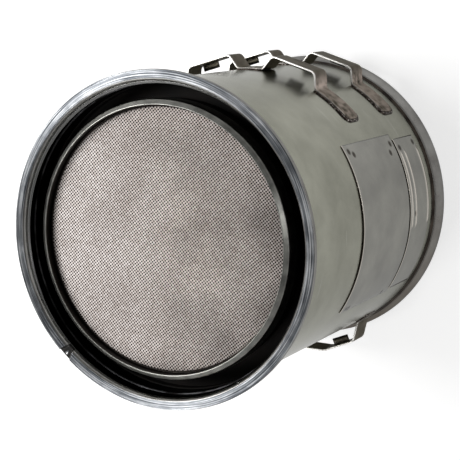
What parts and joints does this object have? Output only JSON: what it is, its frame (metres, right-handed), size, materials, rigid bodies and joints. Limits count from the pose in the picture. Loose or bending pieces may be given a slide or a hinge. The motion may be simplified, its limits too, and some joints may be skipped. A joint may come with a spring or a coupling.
{
  "type": "diesel particulate filter",
  "caption": "Round exhaust filter: ceramic honeycomb block in a double-walled steel can with a clamp flange at each end and humped mounting straps outside.",
  "frame": {"origin": "middle of the outlet flange's end plane, on the can's axis", "axes": "+Z along the can's axis from the outlet to the inlet; +Y towards the humps of the two straps; +X towards the cover plate, so that seen from the inlet +Y lies 90 degrees anticlockwise from +X"},
  "size_m": [0.34, 0.345, 0.368],
  "materials": {
    "pale_ceramic": "matte, porous",
    "ceramic_fibre": "matte fibre mat",
    "sooty_steel": "black with soot, matte",
    "satin_stainless": "satin rolled sheet",
    "turned_steel": "turned, fine concentric lines",
    "heat_tinted_weld": "heat-tinted weld bead",
    "strap_steel": "pressed sheet, heat-tinted at the feet",
    "glossy_stainless": "glossy sheet"
  },
  "bodies": {
    "root": {"filter_block": "pale_ceramic", "support_mat": "ceramic_fibre", "inner_can": "sooty_steel", "insulation_blanket": "ceramic_fibre", "outer_shell": "satin_stainless", "shell_seam_weld": "heat_tinted_weld", "inlet_retaining_ring": "turned_steel", "outlet_retaining_ring": "turned_steel", "inlet_closing_ring": "sooty_steel", "outlet_closing_ring": "sooty_steel", "inlet_flange": "turned_steel", "outlet_flange": "turned_steel", "inlet_flange_weld": "heat_tinted_weld", "outlet_flange_weld": "heat_tinted_weld", "inlet_bracket_strap": "strap_steel", "outlet_bracket_strap": "strap_steel", "lower_bracket": "strap_steel", "inlet_strap_weld_left": "heat_tinted_weld", "inlet_strap_weld_right": "heat_tinted_weld", "inlet_strap_weld_middle": "heat_tinted_weld", "outlet_strap_weld_left": "heat_tinted_weld", "outlet_strap_weld_right": "heat_tinted_weld", "outlet_strap_weld_middle": "heat_tinted_weld", "lower_bracket_weld_upper": "heat_tinted_weld", "lower_bracket_weld_lower": "heat_tinted_weld", "cover_plate": "glossy_stainless", "marking_plate": "glossy_stainless"}
  },
  "joints": []
}
